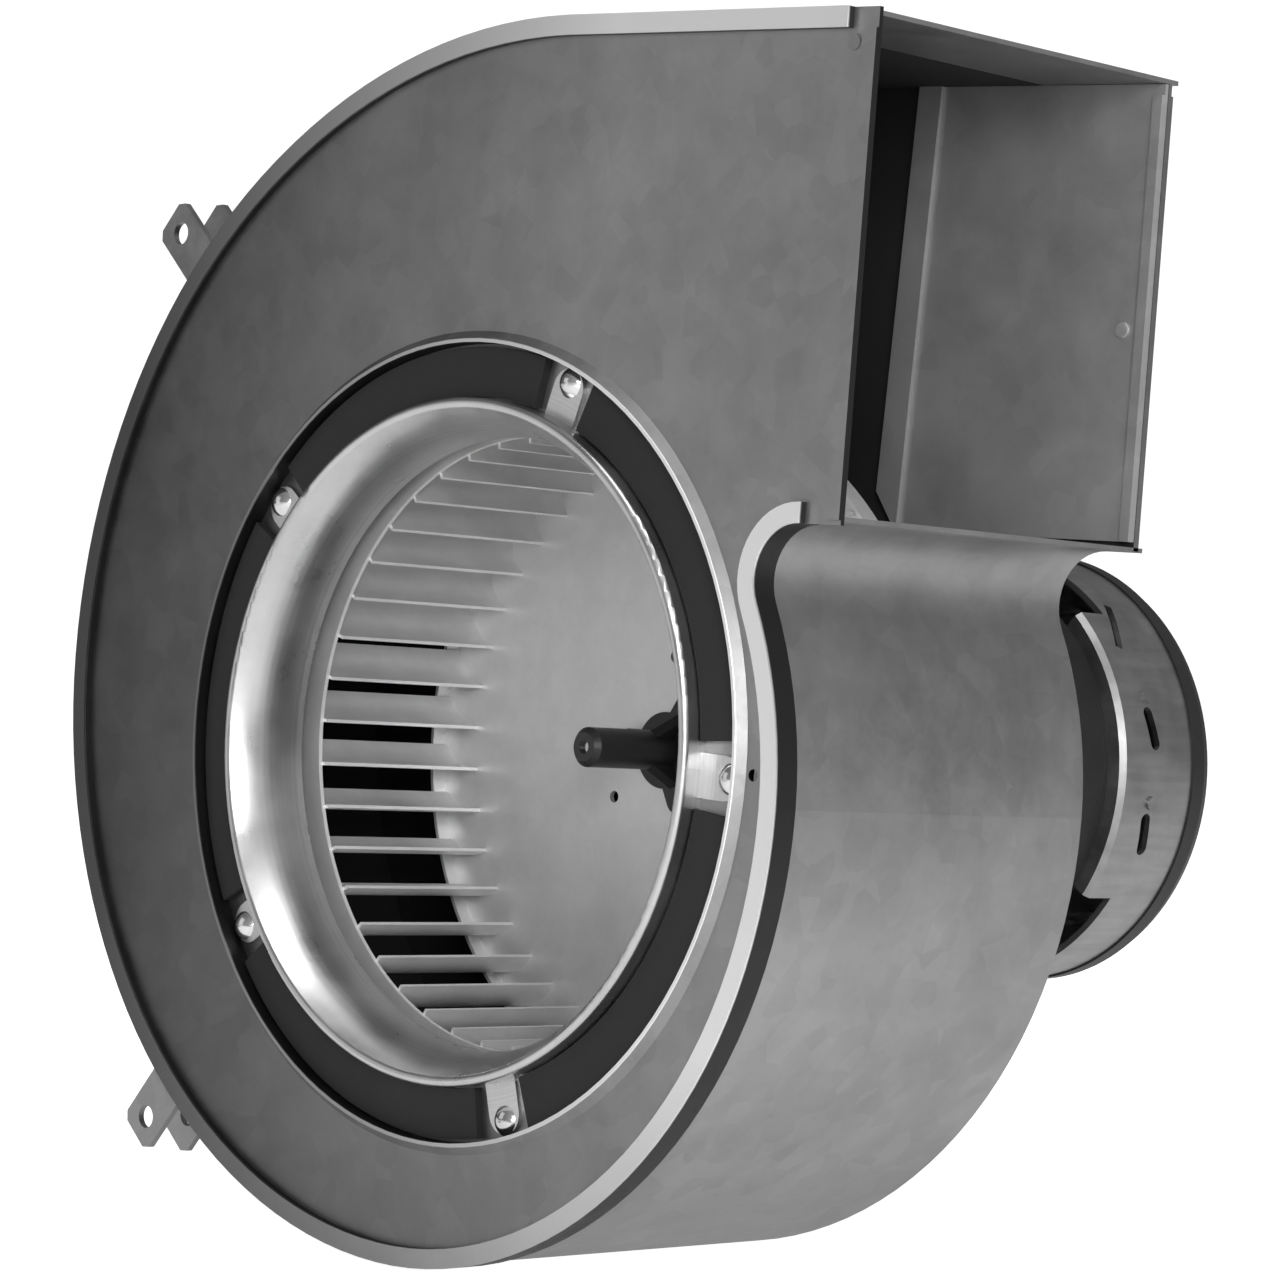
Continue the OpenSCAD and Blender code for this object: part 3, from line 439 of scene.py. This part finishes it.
LOOKS = {
    "housing_sheet": housing_sheet(),
    "wrapper_sheet": wrapper_sheet(),
    "spun_ring": spun_ring(),
    "bright_steel": polished_steel("bright_steel", 0.66, 0.88, 0.16),
    "lug_steel": lug_steel(),
    "wheel_sheet": wheel_sheet(),
    "hub_black": black_coat("hub_black", 0.012, 0.42, 900, 0.05),
    "shaft_steel": polished_steel("shaft_steel", 0.46, 0.66, 0.2),
    "gasket_black": black_coat("gasket_black", 0.010, 0.72, 420, 0.12),
    "motor_black": black_coat("motor_black", 0.012, 0.38, 500, 0.05, 0.3),
    "motor_shell": motor_shell(),
    "cap_black": black_coat("cap_black", 0.010, 0.45, 380, 0.04),
    "lamination": lamination(),
    "copper_winding": copper_winding(),
    "cast_aluminium": cast_aluminium(),
    "bearing_bronze": bearing_bronze(),
    "felt": felt(),
    "washer_nylon": washer_nylon(),
}
OWN_LOOKS = {
    "back_plate": back_sheet(),
    "front_plate": front_sheet(),
    "outlet_liner": liner_sheet(),
    # painted highlight: the weld spot's near-white colour stands in for its glint
    "liner_spot_weld": polished_steel("weld_spot_painted_glint", 0.80, 0.95, 0.55),
}

for part in frame["record"]["subparts"]:
    mesh = nodes[part["node"]].data
    mesh.materials.clear()
    mesh.materials.append(OWN_LOOKS.get(part["node"]) or LOOKS[part["material_slot"]])


# ---- camera ----

def place_camera():
    yaw, pitch, roll = 0.839944, 0.0346001, 0.0765584
    distance, aim_right, aim_up = 0.690728, 0.0325057, 0.0198989
    toward = Vector((math.sin(yaw) * math.cos(pitch), -math.cos(yaw) * math.cos(pitch), math.sin(pitch)))
    position = toward * distance
    right = Vector((0, 0, 1)).cross(toward).normalized()
    aim = right * aim_right + toward.cross(right) * aim_up
    back = (position - aim).normalized()
    right = Vector((0, 0, 1)).cross(back).normalized()
    up = back.cross(right)
    leaned_right = right * math.cos(roll) + up * math.sin(roll)
    leaned_up = up * math.cos(roll) - right * math.sin(roll)
    data = bpy.data.cameras.new("camera")
    data.lens = 112.5
    data.sensor_width = 36
    camera = bpy.data.objects.new("camera", data)
    turn = Matrix((leaned_right, leaned_up, back)).transposed().to_4x4()
    camera.matrix_world = Matrix.Translation(position) @ turn
    bpy.context.scene.collection.objects.link(camera)
    bpy.context.scene.camera = camera


# ---- stage and lights ----

def lay_floor():
    """A pale floor far wider than the fan."""
    mesh = bpy.data.meshes.new("studio_floor")
    shape = bmesh.new()
    bmesh.ops.create_grid(shape, x_segments=1, y_segments=1, size=6)
    shape.to_mesh(mesh)
    shape.free()
    floor = bpy.data.objects.new("studio_floor", mesh)
    floor.location.z = floor_z
    bpy.context.scene.collection.objects.link(floor)
    tree = Tree("studio_floor")
    seen = tree.nodes.new("ShaderNodeLightPath").outputs["Is Camera Ray"]
    tree.set(Base_Color=grey(0.9), Roughness=0.9, Emission_Color=grey(1.0),
             Emission_Strength=tree.fit(seen, 0, 1, 0.28, 0.95))
    mesh.materials.append(tree.material)


def light_world():
    """A soft grey room that reflections see, with a white backdrop behind it."""
    world = bpy.data.worlds.new("studio")
    world.use_nodes = True
    bpy.context.scene.world = world
    tree = world.node_tree
    room = tree.nodes["Background"]
    direction = tree.nodes.new("ShaderNodeTexCoord").outputs["Generated"]
    split = tree.nodes.new("ShaderNodeSeparateXYZ")
    tree.links.new(direction, split.inputs[0])
    ramp = tree.nodes.new("ShaderNodeValToRGB")
    lift = tree.nodes.new("ShaderNodeMapRange")
    tree.links.new(split.outputs["X"], lift.inputs["Value"])
    lift.inputs["From Min"].default_value = -1
    lift.inputs["From Max"].default_value = 1
    tree.links.new(lift.outputs[0], ramp.inputs["Fac"])
    ramp.color_ramp.elements[0].color = grey(0.09)
    ramp.color_ramp.elements[1].color = grey(0.42)
    tree.links.new(ramp.outputs["Color"], room.inputs["Color"])
    backdrop = tree.nodes.new("ShaderNodeBackground")
    backdrop.inputs["Color"].default_value = grey(1.0)
    backdrop.inputs["Strength"].default_value = 1.1
    seen = tree.nodes.new("ShaderNodeLightPath").outputs["Is Camera Ray"]
    choose = tree.nodes.new("ShaderNodeMixShader")
    tree.links.new(seen, choose.inputs[0])
    tree.links.new(room.outputs[0], choose.inputs[1])
    tree.links.new(backdrop.outputs[0], choose.inputs[2])
    tree.links.new(choose.outputs[0], tree.nodes["World Output"].inputs["Surface"])


def softbox(name, azimuth, elevation, distance, width, height, power):
    """An area light facing the fan. Azimuth 0 is in front of the inlet, 90 beyond the outlet."""
    data = bpy.data.lights.new(name, "AREA")
    data.shape = "RECTANGLE"
    data.size = width
    data.size_y = height
    data.energy = power
    light = bpy.data.objects.new(name, data)
    a, e = math.radians(azimuth), math.radians(elevation)
    toward = Vector((math.sin(a) * math.cos(e), -math.cos(a) * math.cos(e), math.sin(e)))
    middle = Vector((0, 40 * MM, 10 * MM))
    light.location = middle + toward * distance
    light.rotation_euler = toward.to_track_quat("Z", "Y").to_euler()
    bpy.context.scene.collection.objects.link(light)


place_camera()
lay_floor()
light_world()
softbox("key", 50, 14, 0.9, 0.3, 0.3, 3.5)
softbox("left_fill", -36, 12, 0.55, 0.3, 0.3, 0.15)
softbox("top", 60, 70, 1.0, 0.6, 0.6, 4)
bpy.context.scene.view_settings.view_transform = "Standard"
